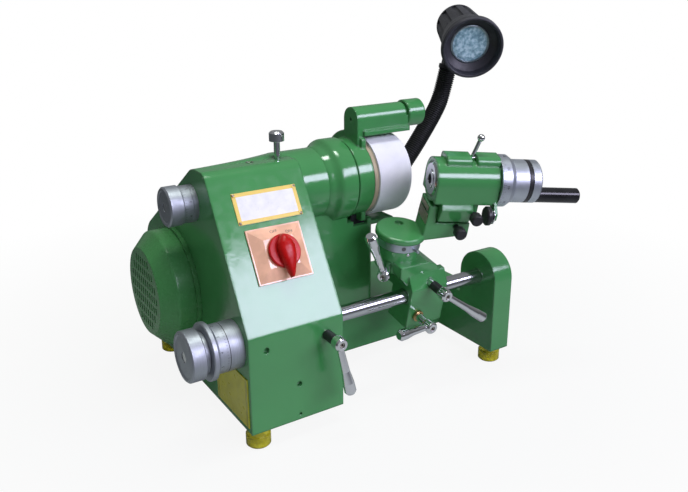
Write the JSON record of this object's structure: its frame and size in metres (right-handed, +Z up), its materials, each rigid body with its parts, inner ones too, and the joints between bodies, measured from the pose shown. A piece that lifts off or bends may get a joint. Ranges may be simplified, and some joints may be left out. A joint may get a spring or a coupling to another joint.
{
  "type": "universal cutter grinder",
  "caption": "Bench cutter grinder with a cup wheel headstock, round guide bar, leaning swivel carriage, indexing collet head, dials, clamp levers and a lamp on a ribbed hose.",
  "frame": {"origin": "on the bench under the middle of the machine's overall box", "axes": "+X along the wheel spindle towards the cup wheel, +Y from the operator to the back, +Z up"},
  "size_m": [0.487, 0.3538, 0.4396],
  "materials": {
    "green_enamel": "gloss hammered green enamel on iron castings",
    "motor_green": "gloss green enamel on pressed sheet",
    "bright_steel": "ground and polished",
    "dark_steel": "blackened",
    "lever_chrome": "polished chrome",
    "dial_aluminium": "fine turned, matt anodised",
    "black_plastic": "moulded black",
    "gloss_black": "smooth black",
    "white_abrasive": "white bonded abrasive, fine grain",
    "backing_brown": "tan backing",
    "switch_red": "gloss red",
    "bezel_beige": "satin, pinkish beige",
    "plate_white": "printed white plate with a yellow border, bare",
    "plate_yellow": "plain yellow plate",
    "foot_amber": "clear amber rubber",
    "bronze": "bearing bronze",
    "belt_rubber": "woven flat belt",
    "winding": "varnished copper and laminations",
    "lamp_glass": "clear, slightly blue"
  },
  "bodies": {
    "machine": {"base_casting": "green_enamel", "bottom_cover": "motor_green", "feet": "foot_amber", "foot_bolts": "bright_steel", "motor_body": "motor_green", "fan_cover": "motor_green", "stator": "winding", "motor_bearings": "dark_steel", "drive_belt": "belt_rubber", "feed_sleeve": "dial_aluminium", "fine_sleeve": "dial_aluminium", "bar_bushes": "bronze", "wheel_guard": "green_enamel", "switch_plate": "bezel_beige", "switch_body": "black_plastic", "name_plate": "plate_white", "side_plate": "plate_yellow", "lamp_base": "black_plastic", "lamp_hose": "black_plastic", "lamp_fork": "black_plastic"},
    "motor_rotor": {"rotor": "bright_steel", "cooling_fan": "black_plastic", "motor_pulley": "dial_aluminium"},
    "spindle_quill": {"quill": "dark_steel", "spindle_bearings": "dark_steel"},
    "wheel_spindle": {"spindle_shaft": "bright_steel", "spindle_pulley": "dial_aluminium", "wheel_flange": "backing_brown", "grinding_wheel": "white_abrasive", "wheel_nut": "bright_steel"},
    "feed_dial": {"feed_knob": "dial_aluminium", "feed_screw": "bright_steel"},
    "sliding_bar": {"guide_bar": "bright_steel"},
    "fine_dial": {"fine_knob": "dial_aluminium", "fine_screw": "bright_steel"},
    "bar_lock": {"front_lock_lever": "lever_chrome"},
    "spindle_stop": {"stop_lever": "lever_chrome"},
    "wheel_dresser": {"dresser": "green_enamel"},
    "power_switch": {"switch_knob": "switch_red"},
    "carriage_slider": {"carriage_sleeve": "bright_steel"},
    "carriage_body": {"carriage": "green_enamel", "swivel_ring": "dial_aluminium"},
    "lean_lock": {"upper_carriage_lever": "lever_chrome"},
    "slide_lock": {"lower_carriage_lever": "lever_chrome"},
    "swivel_lock": {"swivel_clamp_lever": "lever_chrome"},
    "swing_arm": {"swivel_arm": "green_enamel"},
    "work_head": {"head_body": "green_enamel"},
    "index_unit": {"index_spindle": "bright_steel", "collet": "bright_steel", "nose_nut": "bright_steel", "index_ring": "dial_aluminium", "index_drum": "dial_aluminium", "drum_band": "black_plastic", "crank_handle": "gloss_black"},
    "index_lock": {"head_lock_lever": "lever_chrome"},
    "head_screw": {"head_thumb_knob": "black_plastic"},
    "arm_screw": {"arm_thumb_knob": "black_plastic"},
    "index_pin": {"index_plunger": "black_plastic"},
    "lamp_head": {"lamp_shade": "black_plastic", "lamp_lens": "lamp_glass"}
  },
  "joints": [
    {"name": "motor_spin", "type": "hinge", "parent": "machine", "child": "motor_rotor", "pos_m": [-0.18651, 0.06886, 0.126], "axis": [1, 0, 0], "continuous": true},
    {"name": "quill_feed", "type": "slide", "parent": "machine", "child": "spindle_quill", "axis": [1, 0, 0], "range_m": [0, 0.003]},
    {"name": "wheel_spin", "type": "hinge", "parent": "spindle_quill", "child": "wheel_spindle", "pos_m": [-0.18651, 0.00488, 0.243], "axis": [1, 0, 0], "continuous": true},
    {"name": "feed_turn", "type": "hinge", "parent": "machine", "child": "feed_dial", "pos_m": [-0.18651, 0.00488, 0.243], "axis": [1, 0, 0], "range_deg": [-1, 541]},
    {"name": "bar_shift", "type": "slide", "parent": "machine", "child": "sliding_bar", "axis": [1, 0, 0], "range_m": [-0.002, 0.002]},
    {"name": "fine_turn", "type": "hinge", "parent": "machine", "child": "fine_dial", "pos_m": [-0.18651, -0.08914, 0.114], "axis": [1, 0, 0], "range_deg": [-721, 721]},
    {"name": "bar_lock_turn", "type": "hinge", "parent": "machine", "child": "bar_lock", "pos_m": [-0.09401, -0.12114, 0.112], "axis": [0, -1, 0], "range_deg": [-25, 25]},
    {"name": "stop_press", "type": "slide", "parent": "machine", "child": "spindle_stop", "axis": [0, 0, 1], "range_m": [-0.005, 0]},
    {"name": "dresser_turn", "type": "hinge", "parent": "machine", "child": "wheel_dresser", "pos_m": [0.08549, -0.00462, 0.315], "axis": [1, 0, 0], "range_deg": [-180, 180]},
    {"name": "switch_turn", "type": "hinge", "parent": "machine", "child": "power_switch", "pos_m": [-0.12501, -0.08073, 0.19896], "axis": [0, -0.8612, 0.5083], "range_deg": [-90, 0]},
    {"name": "carriage_slide", "type": "slide", "parent": "sliding_bar", "child": "carriage_slider", "axis": [1, 0, 0], "range_m": [-0.036, 0.012]},
    {"name": "carriage_lean", "type": "hinge", "parent": "carriage_slider", "child": "carriage_body", "pos_m": [-0.18651, -0.08914, 0.114], "axis": [1, 0, 0], "range_deg": [-3, 25]},
    {"name": "lean_lock_turn", "type": "hinge", "parent": "carriage_body", "child": "lean_lock", "pos_m": [0.06149, -0.10285, 0.12995], "axis": [0, -0.977, -0.213], "range_deg": [-20, 20]},
    {"name": "slide_lock_turn", "type": "hinge", "parent": "carriage_body", "child": "slide_lock", "pos_m": [0.04649, -0.09832, 0.08948], "axis": [0, -0.977, -0.213], "range_deg": [-20, 20]},
    {"name": "swivel_lock_turn", "type": "hinge", "parent": "carriage_body", "child": "swivel_lock", "pos_m": [0.01539, -0.08009, 0.15487], "axis": [-0.722, -0.676, -0.1474], "range_deg": [-15, 15]},
    {"name": "arm_swivel", "type": "hinge", "parent": "carriage_body", "child": "swing_arm", "pos_m": [0.03689, -0.07197, 0.17608], "axis": [0, -0.213, 0.977], "range_deg": [-40, 10]},
    {"name": "head_tilt", "type": "hinge", "parent": "swing_arm", "child": "work_head", "pos_m": [0.06848, -0.09511, 0.22078], "axis": [0.9239, -0.3739, -0.0815], "range_deg": [-10, 10]},
    {"name": "index_turn", "type": "hinge", "parent": "work_head", "child": "index_unit", "pos_m": [0.06091, -0.09971, 0.25662], "axis": [0.9239, -0.3739, -0.0815], "continuous": true},
    {"name": "index_lock_turn", "type": "hinge", "parent": "work_head", "child": "index_lock", "pos_m": [0.10064, -0.12154, 0.2795], "axis": [0.9239, -0.3739, -0.0815], "range_deg": [-15, 15]},
    {"name": "head_screw_turn", "type": "hinge", "parent": "work_head", "child": "head_screw", "pos_m": [0.09776, -0.13086, 0.21605], "axis": [-0.3827, -0.9027, -0.1968], "range_deg": [-180, 180]},
    {"name": "arm_screw_turn", "type": "hinge", "parent": "swing_arm", "child": "arm_screw", "pos_m": [0.08582, -0.11658, 0.19921], "axis": [-0.3827, -0.9027, -0.1968], "range_deg": [-180, 180]},
    {"name": "index_pin_pull", "type": "slide", "parent": "work_head", "child": "index_pin", "axis": [0.9239, -0.3739, -0.0815], "range_m": [-0.004, 0]},
    {"name": "lamp_tilt", "type": "hinge", "parent": "machine", "child": "lamp_head", "pos_m": [0.2083, 0.04688, 0.37005], "axis": [0.8898, -0.4076, -0.2053], "range_deg": [-12, 12]}
  ],
  "couplings": [
    {"joint": "wheel_spin", "follows": "motor_spin", "ratio": 1.857},
    {"joint": "feed_turn", "follows": "quill_feed", "rad_per_m": 3141.6},
    {"joint": "fine_turn", "follows": "bar_shift", "rad_per_m": 6283.2}
  ]
}
